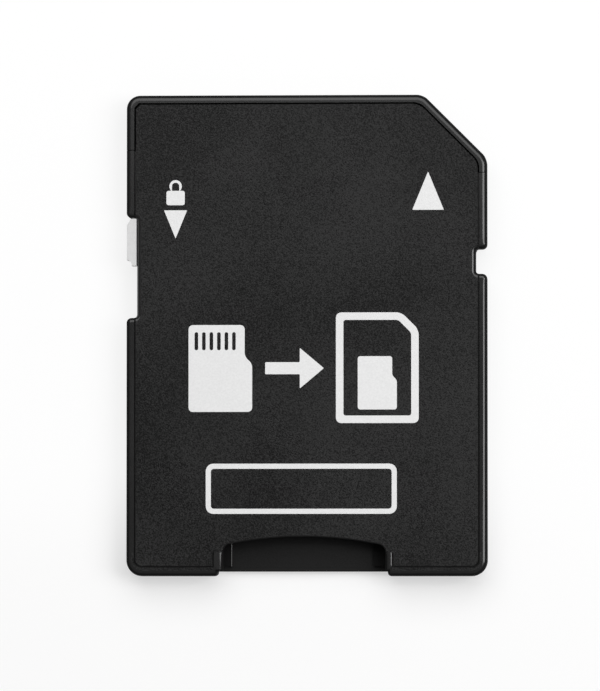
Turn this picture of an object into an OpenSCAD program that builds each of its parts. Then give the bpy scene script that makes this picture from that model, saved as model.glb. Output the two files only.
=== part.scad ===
// Adapter in the full card size that takes a small memory card.
// It lies flat with the label face up. +Y is the contact end, +X the side with the cut corner.
// The origin is the middle of the back face, at the bottom.

/* [Card] */
// Width across the card
card_w = 24; // [23.8:0.05:24.2]
// Length from the open end to the contact end
card_l = 32; // [31.8:0.05:32.2]
// Full thickness
card_t = 2.1; // [2.05:0.05:2.25]
// Leg of the cut corner
cut_leg = 4.25; // [3.9:0.05:4.4]
// Radius where the cut meets the straight edges
cut_r = 1.0; // [0.5:0.1:1.4]
// Corner radius at the open end
rear_r = 1.05; // [0.9:0.05:1.4]
// Corner radius at the contact end
front_r = 0.9; // [0.8:0.05:1.2]
// Rounding of the outer edge on the label side
top_r = 0.32; // [0.2:0.02:0.4]
// Rounding of the outer edge on the back
back_r = 0.15; // [0.05:0.05:0.25]
// Width of the guide ledge along both long edges
ledge_w = 0.7; // [0.5:0.05:0.75]
// Height of the guide ledge, which is also the depth of the pads
ledge_h = 0.7; // [0.65:0.05:0.75]

/* [Shells] */
// Height of the joint line between the two halves
joint_z = 1.1; // [1.0:0.05:1.2]
// Thickness of the label plate
roof_t = 0.6; // [0.5:0.05:0.65]
// Thickness of the floor under the card slot
floor_t = 0.45; // [0.4:0.05:0.5]
// Floor left under the contact fingers
thin_floor_t = 0.25; // [0.2:0.01:0.28]
// Thickness of the long side walls
side_wall = 1.25; // [1.2:0.05:1.35]
// Wall between the card slot and the hollow beside it
slot_wall = 1.0; // [0.8:0.05:1.2]
// Thickness of the foot of the wall at the contact end
front_wall = 0.8; // [0.75:0.05:0.9]
// Clearance round a seated piece
seat_gap = 0.05; // [0.02:0.01:0.08]

/* [Label face] */
// Width of the rim round the label area, groove included
rim_w = 0.6; // [0.5:0.05:0.7]
// Width of the groove inside the rim
groove_w = 0.09; // [0.06:0.01:0.12]
// Depth of the groove inside the rim
groove_d = 0.15; // [0.1:0.05:0.25]
// Cut across the label area's left corner at the contact end
label_cut = 0.4; // [0.2:0.1:0.8]
// Corner radius of the label area
label_r = 0.45; // [0.3:0.05:0.6]
// Distance from the contact end to the left joint line in the rim
left_joint = 3.65; // [3.4:0.05:3.9]
// Distance from the contact end to the right joint line in the rim
right_joint = 5.18; // [5.0:0.05:5.5]
// Width of the hairline joint in the rim
hairline = 0.04; // [0.02:0.01:0.06]
// Width of the smooth border on both sides of the thumb cut
border_w = 0.53; // [0.4:0.01:0.6]
// Length of the groove's turn beside the thumb cut
border_l = 1.0; // [0.6:0.1:1.4]

/* [Card slot] */
// Centre line of the slot, off the middle
slot_x = -0.25; // [-0.35:0.05:-0.15]
// Width of the slot
slot_w = 11.1; // [11.05:0.05:11.2]
// Depth of the slot from the open end
slot_l = 15.4; // [15.2:0.1:15.6]
// Width of the thumb cut in the label plate
thumb_w = 10.84; // [10.7:0.02:10.9]
// Depth of the thumb cut at its middle
thumb_l = 2.62; // [2.4:0.1:2.8]
// Radius of the thumb cut's curved edge
thumb_arc_r = 25; // [20:1:40]
// Corner radius of the thumb cut
thumb_corner_r = 0.4; // [0.2:0.05:0.6]
// Width of the mouth at the open end
mouth_w = 11.27; // [11.25:0.01:11.4]
// Depth of the wider mouth
mouth_l = 0.3; // [0.2:0.05:0.5]
// Width of the left guide rail on the floor
left_rail_w = 0.74; // [0.5:0.02:0.8]
// Width of the right guide rail on the floor
right_rail_w = 0.9; // [0.7:0.05:1.0]
// Height of the guide rails above the floor
rail_h = 0.25; // [0.15:0.05:0.3]
// Gap between the rails' ends and the floor's open end
rail_set = 0.35; // [0.2:0.05:0.6]
// Width of the block that keeps a reversed card out
key_w = 0.9; // [0.7:0.05:1.0]
// Length of the block that keeps a reversed card out
key_l = 4.9; // [4.5:0.1:5.2]

/* [Edge notches] */
// Distance from the contact end to the slider's recess
recess_y = 8.17; // [8.0:0.01:8.3]
// Length of the slider's recess
recess_l = 6.66; // [6.5:0.02:6.8]
// Depth of the slider's recess
recess_d = 0.7; // [0.65:0.01:0.75]
// Distance from the contact end to the right notch
notch_y = 10.21; // [10.1:0.01:10.4]
// Length of the right notch
notch_l = 1.66; // [1.5:0.02:1.8]
// Depth of the right notch
notch_d = 0.82; // [0.7:0.02:0.85]
// Inner corner radius of the recess and the notch
notch_r = 0.22; // [0.1:0.02:0.3]
// Outer corner radius of the recess and the notch
notch_lip_r = 0.2; // [0.1:0.02:0.3]
// Rounding of the label side's edge along the recess, the notch and the thumb cut
lip_r = 0.17; // [0.1:0.01:0.2]

/* [Pads] */
// Distance from the cut side to the middle of the set back pad
right_pad_in = 2.625; // [2.55:0.025:2.7]
// Distance from the other side to the middle of the last pad
left_pad_in = 2.325; // [2.25:0.025:2.4]
// Distance between the middles of the two pads that stand close together
close_pitch = 1.7; // [1.6:0.05:1.8]
// How much closer than the others the next two pads stand
pitch_step = 0.075; // [0:0.025:0.1]
// Width of the six wide pads and of the set back pad
pad_w = 1.7; // [1.5:0.05:1.75]
// Width of the two pads that stand close together
narrow_pad_w = 1.2; // [1.0:0.05:1.3]
// Distance from the contact end to the front of the pads
pad_set = 1.35; // [1.3:0.05:1.4]
// Length of the pads of the straight row
pad_l = 4.25; // [4.0:0.05:4.4]
// Gap between the set back pad's corner and the wall of the cut corner
corner_pad_gap = 0.1; // [0.05:0.05:0.3]
// Length of the set back pad
corner_pad_l = 3.9; // [3.6:0.1:4.2]
// Metal beyond the rear end of each pad window
pad_tuck = 0.2; // [0.1:0.05:0.3]
// Thickness of the stamped strips
strip_t = 0.15; // [0.1:0.01:0.16]
// Width of the strips between pad and finger
strip_w = 0.55; // [0.45:0.05:0.6]
// Depth of the bar that joins the two ground pads
bar_l = 0.2; // [0.15:0.01:0.22]
// Slope on the front ends of the ribs between the windows
rib_slope = 0.45; // [0.3:0.05:0.6]
// Chamfer under the wall at the contact end, where the host's springs ride up
lead_in = 0.25; // [0.1:0.05:0.3]

/* [Fingers] */
// Distance between neighbouring fingers
finger_pitch = 1.1; // [1.05:0.01:1.12]
// Shift of the row of fingers from the slot's centre line
finger_shift = -0.65; // [-0.7:0.05:-0.5]
// Reach of the fingers past the end of the slot
finger_l = 3.3; // [3.0:0.05:3.4]
// Height of the finger's top above the rails
finger_rise = 0.15; // [0.05:0.01:0.2]
// Drop of the finger's tip below its top
tip_drop = 0.28; // [0.15:0.01:0.3]
// Distance from the finger's tip to its top
tip_l = 0.7; // [0.5:0.05:0.9]
// Straight root of the finger outside the carrier
root_l = 0.35; // [0.2:0.05:0.6]
// Gap between the strips and the floor under them
finger_gap = 0.05; // [0.03:0.01:0.06]
// Distance from the slot's end to the lower end of the strips' ramp
ramp_set = 2.0; // [1.6:0.1:2.2]
// Length of the strips' ramp
ramp_l = 1.6; // [1.4:0.1:1.8]
// Distance from the ramp to the bend where the strips spread towards the pads
spread_set = 1.6; // [1.2:0.1:2.0]
// Radius of the strips' bends
bend_r = 0.3; // [0.2:0.05:0.4]

/* [Card spring] */
// Distance from the open end to the middle of the spring's bump
spring_y = 7.4; // [7.2:0.1:7.6]
// Distance that the bump stands into the slot
spring_in = 0.25; // [0.1:0.05:0.3]
// Thickness of the spring leaf
spring_t = 0.15; // [0.1:0.01:0.18]
// Height of the spring leaf
spring_h = 0.5; // [0.4:0.05:0.55]
// Distance from the slot's side to the leaf's root
spring_set = 0.55; // [0.45:0.05:0.6]
// Length of the leaf's root in its slit
spring_root_l = 1.7; // [1.4:0.1:1.8]
// Length of the leaf from its root to the bump
spring_arm_l = 2.55; // [2.3:0.05:2.7]
// Length of the bump's top
spring_flat_l = 0.7; // [0.5:0.05:0.8]
// Length of the leaf past the bump
spring_end_l = 1.55; // [1.2:0.05:1.7]
// Depth of the pocket beside the slot
spring_pocket_d = 0.85; // [0.75:0.05:0.9]

/* [Slider] */
// Length of the slider's outer tab
tab_l = 3.12; // [3.0:0.02:3.2]
// Free travel left at each end of the recess
tab_gap = 0.06; // [0.04:0.01:0.08]
// Gap between the slider and the walls that it runs along
slide_gap = 0.04; // [0.03:0.01:0.06]
// Length of the slider's neck
neck_l = 2.2; // [2.0:0.1:2.3]
// Thickness of the slider's neck
neck_t = 0.5; // [0.4:0.02:0.54]
// Length of the slider's foot
foot_l = 2.7; // [2.5:0.1:2.8]
// Depth of the slider's foot
foot_d = 0.65; // [0.55:0.05:0.7]
// Thickness of the walls on both sides of the foot's channel
recess_wall = 0.45; // [0.4:0.05:0.5]
// Length of the slope at the tab's unlocked end
tab_slope = 0.41; // [0.3:0.01:0.5]
// Width of the tab's flat end beside the slope
tab_nose = 0.36; // [0.25:0.01:0.4]
// Cut at the tab's locked end
tab_cut = 0.34; // [0.2:0.01:0.4]
// Gap between the tab and the label face's level
tab_low = 0.06; // [0.02:0.01:0.1]

/* [Inside] */
// Distance from the open end to the hollows beside the slot
hollow_rear = 2.6; // [2.4:0.1:3.0]
// Distance from the slot's end to the hollows beside the slot
hollow_front = 3.0; // [2.6:0.1:4.0]
// Length of the carrier's narrow rear part
neck_part_l = 4.0; // [3.95:0.05:4.2]
// Width of the carrier's rear part beside the outer strips
neck_part_w = 0.8; // [0.6:0.1:1.2]
// Radius of the pins that line up the two halves
pin_r = 0.4; // [0.3:0.05:0.5]
// Clearance round the pins
pin_gap = 0.04; // [0.02:0.01:0.06]
// Length of the pins below the joint line
pin_l = 0.45; // [0.3:0.05:0.5]
// Distance from the open end to the pins
pin_y = 1.6; // [1.4:0.1:1.8]
// Distance from the long edges to the pins
pin_x = 3.4; // [3.0:0.1:3.8]

/* [Hidden] */

black_shell = [0.16, 0.16, 0.165];
black_back = [0.2, 0.2, 0.205];
dark_insert = [0.3, 0.3, 0.31];
gold_plate = [0.83, 0.68, 0.36];
spring_steel = [0.72, 0.72, 0.74];
white_tab = [0.9, 0.9, 0.9];

hw = card_w / 2;
hl = card_l / 2;
over = 1;
arc_steps = 8;
edge_steps = 4;
lip_steps = 3;
roof_z = card_t - roof_t;

slot_left = slot_x - slot_w / 2;
slot_right = slot_x + slot_w / 2;
stop_y = -hl + slot_l;
rail_z = floor_t + rail_h;
inner_x = hw - side_wall;

carrier_front_y = hl - front_wall - seat_gap;
ramp_end_y = stop_y + ramp_set;
ramp_top_y = ramp_end_y + ramp_l;
bend_y = ramp_top_y + spread_set;
step_left = finger_x(8) - strip_w;
step_right = finger_x(1) + strip_w;
step_front_y = ramp_top_y + 2 * strip_t;
carrier_back_y = stop_y + neck_part_l;

recess_top = hl - recess_y;
recess_end = recess_top - recess_l;
recess_x = -hw + recess_d;
notch_top = hl - notch_y;
notch_end = notch_top - notch_l;
notch_x = hw - notch_d;
channel_out = recess_x + recess_wall;
channel_in = channel_out + foot_d + 2 * slide_gap;
foot_back = (tab_l - foot_l) / 2 - 2 * slide_gap;
channel_top = recess_top - tab_gap - foot_back;
channel_end = recess_end + tab_gap + foot_back;
tab_y = recess_top - tab_gap - tab_l / 2;
neck_z = ledge_h + (roof_z - ledge_h - neck_t) / 2;

pad_pitch = (card_w - left_pad_in - right_pad_in - close_pitch + 2 * pitch_step) / 7;
pad_front_y = hl - pad_set;
pad_rear_y = pad_front_y - pad_l;
corner_wall = (front_wall + seat_gap) * sqrt(2);
corner_front_y = hw + hl - cut_leg - corner_wall - pad_x(9) - pad_w / 2 - corner_pad_gap;
corner_rear_y = corner_front_y - corner_pad_l;
bar_y = carrier_front_y - seat_gap - bar_l;
rib_front_y = hl - rim_w;

spring_mid_y = -hl + spring_y;
spring_root_x = slot_right + spring_set;
spring_top_x = slot_right - spring_in + spring_t / 2;
spring_bend_y = spring_mid_y - spring_flat_l / 2 - spring_arm_l;
spring_z = floor_t + 2 * slide_gap;

// Position of a pad across the card, counted as on the full-size card.
function pad_x(k) =
    k == 9 ? hw - right_pad_in
    : k == 8 ? -hw + left_pad_in
    : k == 7 ? -hw + left_pad_in + close_pitch
    : k == 6 ? -hw + left_pad_in + close_pitch + pad_pitch - pitch_step
    : hw - right_pad_in - k * pad_pitch;

// Width of a pad.
function pad_width(k) = k == 7 || k == 8 ? narrow_pad_w : pad_w;

// Position of a finger across the card, counted as on the small card.
function finger_x(k) = slot_x + finger_shift + (4.5 - k) * finger_pitch;

function unit(v) = v / norm(v);

function turned(v, a) = [v[0] * cos(a) - v[1] * sin(a), v[0] * sin(a) + v[1] * cos(a)];

// Points of an arc of radius r at the corner b between its neighbours a and c, in n steps.
function corner(a, b, c, r, n = arc_steps) =
    r <= 0 ? [b] :
    let (
        u = unit(a - b),
        v = unit(c - b),
        half = acos(u * v) / 2,
        side = sign(cross(b - a, c - b)),
        mid = b + unit(u + v) * r / sin(half),
        first = b + u * r / tan(half) - mid
    )
    [for (k = [0:n]) mid + turned(first, side * k * (180 - 2 * half) / n)];

// Outline with each corner rounded to its own radius.
function rounded(pts, radii) =
    let (n = len(pts))
    [for (i = [0:n - 1]) each corner(pts[(i + n - 1) % n], pts[i], pts[(i + 1) % n], radii[i])];

// Open path with each of its bends rounded to the radius r.
function eased(path, r) =
    let (n = len(path))
    concat(
        [path[0]],
        [for (i = [1:n - 2]) each corner(path[i - 1], path[i], path[i + 1], r, edge_steps)],
        [path[n - 1]]
    );

// Sharp corners of the card's outline, moved in by d.
function sharp_outline(d) = [
    [-hw + d, -hl + d],
    [hw - d, -hl + d],
    [hw - d, hl - cut_leg - d * (sqrt(2) - 1)],
    [hw - cut_leg - d * (sqrt(2) - 1), hl - d],
    [-hw + d, hl - d]
];

// Rounded outline of the card, moved in by d.
function card_outline(d) = rounded(sharp_outline(d), [rear_r - d, rear_r - d, cut_r, cut_r, front_r - d]);

// Outline of the label area, moved in by d, with its small cut corner.
function label_outline(d) =
    let (s = sharp_outline(d))
    rounded(
        [s[0], s[1], s[2], s[3], [-hw + d + label_cut, hl - d], [-hw + d, hl - d - label_cut]],
        [label_r, label_r, cut_r, cut_r, 0, 0]
    );

// Heights and insets of the card's rounded edge, from the back up.
edge_layers = concat(
    [for (k = [0:2]) [back_r * (1 - cos(45 * k)), back_r * (1 - sin(45 * k))]],
    [for (k = [0:edge_steps])
        let (a = 90 * k / edge_steps)
        [card_t - top_r + top_r * sin(a), top_r * (1 - cos(a))]]
);

// Heights and widenings of a cut whose edge on the label side is rounded.
lip_layers = concat(
    [[-over, 0]],
    [for (k = [0:lip_steps])
        let (a = 90 * k / lip_steps)
        [card_t - lip_r + lip_r * sin(a), lip_r * (1 - cos(a))]],
    [[card_t + over, lip_r]]
);

// Solid through a stack of rings, each a flat convex outline at its own height.
module loft(rings, heights) {
    n = len(rings[0]);
    m = len(rings);
    points = [for (k = [0:m - 1]) each [for (p = rings[k]) [p[0], p[1], heights[k]]]];
    sides = [for (k = [0:m - 2]) for (i = [0:n - 1])
        [k * n + i, (k + 1) * n + i, (k + 1) * n + (i + 1) % n, k * n + (i + 1) % n]];
    back = [for (i = [0:n - 1]) i];
    face = [for (i = [n - 1:-1:0]) (m - 1) * n + i];
    polyhedron(points = points, faces = concat([back], sides, [face]), convexity = 4);
}

// Solid card with its rounded edges, before anything is cut.
module card_form() {
    loft([for (e = edge_layers) card_outline(e[1])], [for (e = edge_layers) e[0]]);
}

// Upright prism of a flat shape between two heights.
module prism(z0, z1) {
    translate([0, 0, z0])
        linear_extrude(height = z1 - z0, convexity = 8)
            children();
}

// Box between two corners.
module box(a, b) {
    translate(a)
        cube(b - a);
}

// Guide ledges cut along both long edges of the back.
module ledge_cuts() {
    for (s = [-1, 1])
        box([s > 0 ? hw - ledge_w : -hw - over, -hl - over, -over],
            [s > 0 ? hw + over : -hw + ledge_w, hl + over, ledge_h]);
}

// Outline of the slider's recess, widened by d.
function recess_outline(d) = rounded(
    [[-hw - over, recess_end - d], [recess_x + d, recess_end - d],
     [recess_x + d, recess_top + d], [-hw - over, recess_top + d]],
    [0, notch_r + d, notch_r + d, 0]);

// Outline of the right notch, widened by d.
function notch_outline(d) = rounded(
    [[hw + over, notch_end - d], [hw + over, notch_top + d],
     [notch_x - d, notch_top + d], [notch_x - d, notch_end - d]],
    [0, 0, notch_r + d, notch_r + d]);

// Cutter that rounds an upright outer corner of radius r. The signs point away from the solid.
module corner_cut(x, y, side_x, side_y, r) {
    prism(-over, card_t + over)
        difference() {
            translate([x - (side_x > 0 ? r : 0), y - (side_y > 0 ? r : 0)])
                square(r);
            translate([x - side_x * r, y - side_y * r])
                circle(r, $fn = 32);
        }
}

// Slider recess and right notch, through the whole thickness.
module edge_cuts() {
    loft([for (e = lip_layers) recess_outline(e[1])], [for (e = lip_layers) e[0]]);
    loft([for (e = lip_layers) notch_outline(e[1])], [for (e = lip_layers) e[0]]);
    corner_cut(-hw, recess_top, -1, -1, notch_lip_r);
    corner_cut(-hw, recess_end, -1, 1, notch_lip_r);
    corner_cut(hw, notch_top, 1, -1, notch_lip_r);
    corner_cut(hw, notch_end, 1, 1, notch_lip_r);
}

// Card slot in plan, with the block that keeps a reversed card out.
module slot_plan() {
    polygon([
        [slot_left, -hl - over], [slot_right, -hl - over], [slot_right, stop_y - key_l],
        [slot_right - key_w, stop_y - key_l + 0.5], [slot_right - key_w, stop_y + seat_gap],
        [slot_left, stop_y + seat_gap]
    ]);
}

// Wider mouth at the open end in plan.
module mouth_plan() {
    polygon([
        [slot_x - mouth_w / 2, -hl - over], [slot_x + mouth_w / 2, -hl - over],
        [slot_x + mouth_w / 2, -hl + mouth_l], [slot_right, -hl + mouth_l + 0.2],
        [slot_left, -hl + mouth_l + 0.2], [slot_x - mouth_w / 2, -hl + mouth_l]
    ]);
}

// Hollows beside the slot in plan.
module hollow_plan() {
    for (s = [-1, 1]) {
        x0 = s > 0 ? slot_right + max(slot_wall, spring_pocket_d + recess_wall) : -inner_x;
        x1 = s > 0 ? inner_x : slot_left - slot_wall;
        translate([x0, -hl + hollow_rear])
            square([x1 - x0, slot_l - hollow_rear - hollow_front]);
    }
}

// Seat of the contact carrier in plan, grown by g.
module carrier_plan(g) {
    d = front_wall + seat_gap - g;
    e = side_wall + seat_gap - g;
    left = channel_in + recess_wall + seat_gap - g;
    shoulder = channel_top + recess_wall + seat_gap - g;
    neck = carrier_back_y - g;
    neck_left = step_left - neck_part_w - g;
    neck_right = step_right + neck_part_w + g;
    cut = sharp_outline(d);
    polygon([
        [neck_left, stop_y],
        [neck_right, stop_y],
        [neck_right, neck],
        [hw - e, neck],
        [hw - e, cut[2][1] + e - d],
        cut[3],
        [-hw + e, hl - d],
        [-hw + e, shoulder],
        [left, shoulder],
        [left, neck],
        [neck_left, neck]
    ]);
}

// Channel that the slider's foot runs in, in plan.
module channel_plan() {
    translate([channel_out, channel_end])
        square([channel_in - channel_out, channel_top - channel_end]);
}

// Slit in the wall behind the recess, for the slider's neck.
module neck_slit() {
    run = recess_l - 2 * tab_gap - tab_l;
    y1 = tab_y + neck_l / 2 + 2 * slide_gap;
    box([recess_x - over, y1 - run - neck_l - 4 * slide_gap, neck_z - slide_gap],
        [channel_out + slide_gap, y1, neck_z + neck_t + slide_gap]);
}

// Centre line of the card spring in plan.
spring_path = [
    [spring_root_x, spring_bend_y - spring_root_l],
    [spring_root_x, spring_bend_y],
    [spring_top_x, spring_mid_y - spring_flat_l / 2],
    [spring_top_x, spring_mid_y + spring_flat_l / 2],
    [slot_right + spring_set / 2, spring_mid_y + spring_flat_l / 2 + spring_end_l]
];

// Flat strip of width w along a path, with mitred bends.
function ribbon(path, w) =
    let (
        n = len(path),
        dirs = [for (i = [0:n - 2]) unit(path[i + 1] - path[i])],
        sides = [for (i = [0:n - 1])
            let (
                a = dirs[max(i - 1, 0)],
                b = dirs[min(i, n - 2)],
                m = unit([-(a[1] + b[1]), a[0] + b[0]])
            )
            m / (m * [-a[1], a[0]])]
    )
    concat(
        [for (i = [0:n - 1]) path[i] - sides[i] * w / 2],
        [for (i = [n - 1:-1:0]) path[i] + sides[i] * w / 2]
    );

// Pocket for the card spring: room to bend, and the tight slit that holds its root.
module spring_pocket_plan() {
    y0 = spring_bend_y - 2 * spring_t;
    y1 = spring_mid_y + spring_flat_l / 2 + spring_end_l + 2 * spring_t;
    polygon([
        [slot_right - right_rail_w, y0 + spring_set], [slot_right + spring_in, y0],
        [slot_right + spring_pocket_d, y0], [slot_right + spring_pocket_d, y1],
        [slot_right - right_rail_w, y1]
    ]);
    translate([spring_root_x - spring_t / 2, spring_bend_y - spring_root_l])
        square([spring_t, spring_root_l]);
}

// Band of the contact shell's rim at the contact end, in plan. Its inner line is moved in by d.
module front_rim_plan(d, g) {
    difference() {
        polygon([
            [-hw - over, hl - left_joint + g], [-hw + rim_w + 0.4, hl - left_joint + g],
            [hw - rim_w - 0.4, hl - right_joint + g], [hw + over, hl - right_joint + g],
            [hw + over, hl + over], [-hw - over, hl + over]
        ]);
        polygon(label_outline(d));
    }
}

// Outline of the thumb cut in the label plate, widened by d.
function thumb_outline(d) =
    let (
        w = thumb_w / 2 + d,
        r = thumb_corner_r + d,
        big = thumb_arc_r + d,
        top = -hl + thumb_l + d,
        reach = asin((w - r) / big),
        near = asin((w - 2 * r) / big),
        side_y = top - big * (1 - cos(asin(w / big)))
    )
    concat(
        [[slot_x - w, -hl - over], [slot_x + w, -hl - over]],
        corner([slot_x + w, -hl - over], [slot_x + w, side_y],
            [slot_x + big * sin(reach), top - big * (1 - cos(reach))], r),
        [for (k = [0:arc_steps])
            let (a = near * (1 - 2 * k / arc_steps))
            [slot_x + big * sin(a), top - big * (1 - cos(a))]],
        corner([slot_x - big * sin(reach), top - big * (1 - cos(reach))],
            [slot_x - w, side_y], [slot_x - w, -hl - over], r)
    );

// Outline of the open end's wider mouth in the label plate, widened by d.
function mouth_outline(d) = [
    [slot_x - mouth_w / 2 - d, -hl - over], [slot_x + mouth_w / 2 + d, -hl - over],
    [slot_x + mouth_w / 2 + d, -hl + mouth_l + d], [slot_x - mouth_w / 2 - d, -hl + mouth_l + d]
];

// Thumb cut and mouth in the label plate, with a rounded edge on the label side.
module thumb_cut() {
    loft([for (e = lip_layers) thumb_outline(e[1])], [for (e = lip_layers) e[0]]);
    loft([for (e = lip_layers) mouth_outline(e[1])], [for (e = lip_layers) e[0]]);
}

// Groove round the label area on the sides and the open end, in plan.
module groove_plan() {
    side = thumb_w / 2 + border_w;
    difference() {
        polygon(label_outline(rim_w - groove_w));
        polygon(label_outline(rim_w));
        translate([slot_x - side, -hl - over])
            square([2 * side, 2 * over + rim_w]);
    }
    for (s = [-1, 1])
        translate([slot_x + s * side - groove_w / 2, -hl + rim_w - groove_w])
            square([groove_w, border_l]);
}

// Windows over the pads, open to the contact end.
module window_cuts() {
    for (k = [1:8])
        box([pad_x(k) - pad_width(k) / 2, pad_rear_y, -over], [pad_x(k) + pad_width(k) / 2, hl + over, ledge_h]);
    box([pad_x(9) - pad_w / 2, corner_rear_y, -over], [pad_x(9) + pad_w / 2, hl + over, ledge_h]);
    translate([pad_x(8) - narrow_pad_w / 2, 0, 0])
        rotate([90, 0, 90])
            linear_extrude(height = pad_x(1) - pad_x(8) + (narrow_pad_w + pad_w) / 2)
                polygon([
                    [rib_front_y - rib_slope - over, -over], [hl + over, -over],
                    [hl + over, ledge_h + over + lead_in], [hl - lead_in, ledge_h], [rib_front_y, ledge_h],
                    [rib_front_y, rib_slope], [rib_front_y - rib_slope, 0]
                ]);
}

module label_shell() {
    color(black_shell)
        union() {
            difference() {
                card_form();
                box([-hw - over, -hl - over, -over], [hw + over, hl + over, joint_z]);
                prism(joint_z - over, card_t + over)
                    front_rim_plan(rim_w, -hairline);
                prism(joint_z - over, roof_z)
                    front_rim_plan(front_wall + seat_gap, -hairline);
                prism(joint_z - over, roof_z) {
                    carrier_plan(seat_gap);
                    slot_plan();
                    hollow_plan();
                    channel_plan();
                    spring_pocket_plan();
                    mouth_plan();
                }
                thumb_cut();
                prism(card_t - groove_d, card_t + over)
                    groove_plan();
                edge_cuts();
                neck_slit();
            }
            for (s = [-1, 1])
                translate([s * (hw - pin_x), -hl + pin_y, joint_z - pin_l])
                    cylinder(h = 2 * pin_l, r = pin_r, $fn = 24);
        }
}

module contact_shell() {
    color(black_back)
        difference() {
            card_form();
            difference() {
                box([-hw - over, -hl - over, joint_z], [hw + over, hl + over, card_t + over]);
                prism(joint_z - over, roof_z)
                    front_rim_plan(front_wall, 0);
                prism(roof_z - over, card_t + 2 * over)
                    front_rim_plan(rim_w - groove_w, 0);
            }
            ledge_cuts();
            edge_cuts();
            window_cuts();
            prism(ledge_h, roof_z)
                carrier_plan(seat_gap);
            prism(floor_t, card_t)
                difference() {
                    slot_plan();
                    rail_plan();
                }
            prism(rail_z, card_t)
                slot_plan();
            prism(floor_t, card_t) {
                hollow_plan();
                mouth_plan();
            }
            prism(ledge_h, roof_z)
                channel_plan();
            prism(spring_z - slide_gap, card_t)
                spring_pocket_plan();
            box([step_left - seat_gap, stop_y - finger_l - root_l, thin_floor_t],
                [step_right + seat_gap, step_front_y + seat_gap, card_t]);
            box([slot_x - mouth_w / 2, -hl - over, -over], [slot_x + mouth_w / 2, -hl + mouth_l, card_t]);
            neck_slit();
            for (s = [-1, 1])
                translate([s * (hw - pin_x), -hl + pin_y, joint_z - pin_l - pin_gap])
                    cylinder(h = pin_l + over, r = pin_r + pin_gap, $fn = 24);
        }
}

// Guide rails on the slot floor, in plan.
module rail_plan() {
    translate([slot_left - over, -hl + mouth_l + rail_set])
        square([left_rail_w + over, slot_l - key_l - 2]);
    translate([slot_right - right_rail_w, -hl + mouth_l + rail_set])
        square([right_rail_w + over, slot_l - key_l - 2]);
}

// Flat part of a stamped strip in plan: the pad k and the run to the finger f.
module strip_plan(k, f) {
    front = k == 9 ? corner_front_y : pad_front_y;
    rear = (k == 9 ? corner_rear_y : pad_rear_y) - pad_tuck;
    w = pad_width(k) / 2;
    translate([pad_x(k) - w, rear])
        square([2 * w, front - rear]);
    if (f > 0) {
        h = strip_w / 2;
        polygon([
            [pad_x(k) - h, rear + pad_tuck / 2], [pad_x(k) - h, rear], [finger_x(f) - h, bend_y],
            [finger_x(f) - h, ramp_top_y], [finger_x(f) + h, ramp_top_y],
            [finger_x(f) + h, bend_y], [pad_x(k) + h, rear], [pad_x(k) + h, rear + pad_tuck / 2]
        ]);
    }
}

// Side view of a strip from the ramp to the finger's tip, as y and z of its middle line.
finger_path = [
    [ramp_top_y + 2 * strip_t, ledge_h + strip_t / 2],
    [ramp_top_y, ledge_h + strip_t / 2],
    [ramp_end_y, thin_floor_t + finger_gap + strip_t / 2],
    [stop_y - root_l, thin_floor_t + finger_gap + strip_t / 2],
    [stop_y - finger_l + tip_l, rail_z + finger_rise - strip_t / 2],
    [stop_y - finger_l, rail_z + finger_rise - strip_t / 2 - tip_drop]
];

module strip_finger(f) {
    translate([finger_x(f) - strip_w / 2, 0, 0])
        rotate([90, 0, 90])
            linear_extrude(height = strip_w)
                polygon(ribbon(eased(finger_path, bend_r), strip_t));
}

module strip(k, f) {
    color(gold_plate)
        union() {
            prism(ledge_h, ledge_h + strip_t)
                strip_plan(k, f);
            strip_finger(f);
        }
}

module contact_data2() {
    strip(9, 1);
}

module contact_data3() {
    strip(1, 2);
}

module contact_command() {
    strip(2, 3);
}

module contact_supply() {
    strip(4, 4);
}

module contact_clock() {
    strip(5, 5);
}

module contact_ground() {
    color(gold_plate)
        union() {
            prism(ledge_h, ledge_h + strip_t) {
                strip_plan(6, 6);
                strip_plan(3, 0);
                ground_bar_plan();
            }
            strip_finger(6);
        }
}

// Thin bar in front of the pads between the two ground pads, in plan.
module ground_bar_plan() {
    left = pad_x(6) - pad_w / 2;
    right = pad_x(3) + pad_w / 2;
    translate([left, bar_y])
        square([right - left, bar_l]);
    for (k = [3, 6])
        translate([pad_x(k) - pad_w / 2, pad_front_y - bar_l])
            square([pad_w, bar_y - pad_front_y + 1.5 * bar_l]);
}

module contact_data0() {
    strip(7, 7);
}

module contact_data1() {
    strip(8, 8);
}

// Flat parts of all the strips in plan.
module all_strips_plan() {
    for (k = [1, 2])
        strip_plan(k, k + 1);
    for (k = [4:8])
        strip_plan(k, k);
    strip_plan(9, 1);
    strip_plan(3, 0);
    ground_bar_plan();
}

module contact_carrier() {
    color(dark_insert)
        difference() {
            union() {
                prism(ledge_h, roof_z)
                    carrier_plan(0);
                box([step_left, stop_y, thin_floor_t], [step_right, step_front_y, ledge_h + 0.1]);
            }
            prism(ledge_h - over, ledge_h + strip_t)
                intersection() {
                    all_strips_plan();
                    translate([-hw, step_front_y])
                        square([card_w, card_l]);
                }
            prism(ledge_h, ledge_h + strip_t)
                all_strips_plan();
            for (f = [1:8])
                strip_finger(f);
        }
}

module card_spring() {
    color(spring_steel)
        prism(spring_z, spring_z + spring_h)
            polygon(ribbon(eased(spring_path, bend_r), spring_t));
}

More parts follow.
